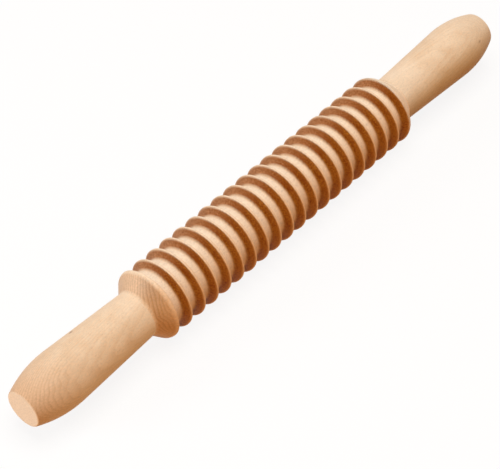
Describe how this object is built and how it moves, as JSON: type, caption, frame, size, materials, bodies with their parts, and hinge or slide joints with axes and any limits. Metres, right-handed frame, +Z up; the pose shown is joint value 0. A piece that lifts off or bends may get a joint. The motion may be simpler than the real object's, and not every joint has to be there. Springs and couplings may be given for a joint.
{
  "type": "pasta cutter rolling pin",
  "caption": "Turned wooden pasta cutting rolling pin: a barrel of thin cutting rings between two plain turned handles.",
  "frame": {"origin": "on the surface the pin lies on, under the middle of its length", "axes": "+X along the pin towards its right handle, +Z up"},
  "size_m": [0.32, 0.036, 0.036],
  "materials": {
    "barrel_beech": "turned beech, unvarnished, flanks of the rings burnished brown by the cutter",
    "handle_beech": "turned and sanded beech, unvarnished"
  },
  "bodies": {
    "root": {"cutting_barrel": "barrel_beech", "left_handle": "handle_beech", "right_handle": "handle_beech"}
  },
  "joints": []
}
